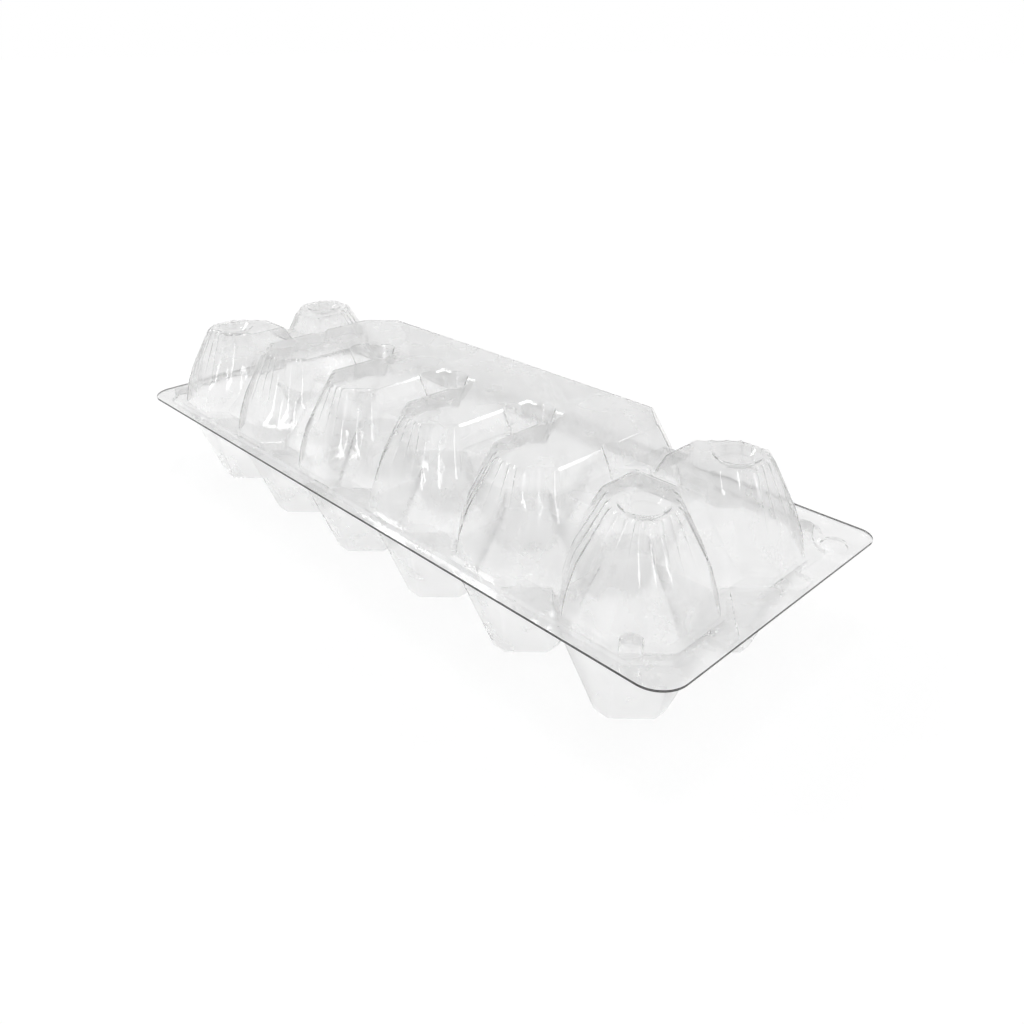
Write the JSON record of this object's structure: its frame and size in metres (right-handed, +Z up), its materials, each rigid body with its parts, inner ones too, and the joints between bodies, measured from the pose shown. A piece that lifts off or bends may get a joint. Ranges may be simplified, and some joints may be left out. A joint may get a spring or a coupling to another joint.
{
  "type": "plastic egg tray",
  "caption": "Clear formed egg tray with a hinged lid: tapered cups hang below a flat flange, and fluted domes with a label plateau close over them to store and carry hen's eggs.",
  "frame": {"origin": "under the middle of the flange, on the plane of the cups' feet", "axes": "+X along the long side, +Y towards the hinge, +Z up"},
  "size_m": [0.304, 0.122, 0.0715],
  "materials": {
    "clear_sheet": "clear glossy sheet"
  },
  "bodies": {
    "base": {"base_tray": "clear_sheet"},
    "lid": {"lid": "clear_sheet"}
  },
  "joints": [
    {"name": "lid_hinge", "type": "hinge", "parent": "base", "child": "lid", "pos_m": [0, 0.061, 0.0375], "axis": [-1, 0, 0], "range_deg": [0, 180]}
  ]
}
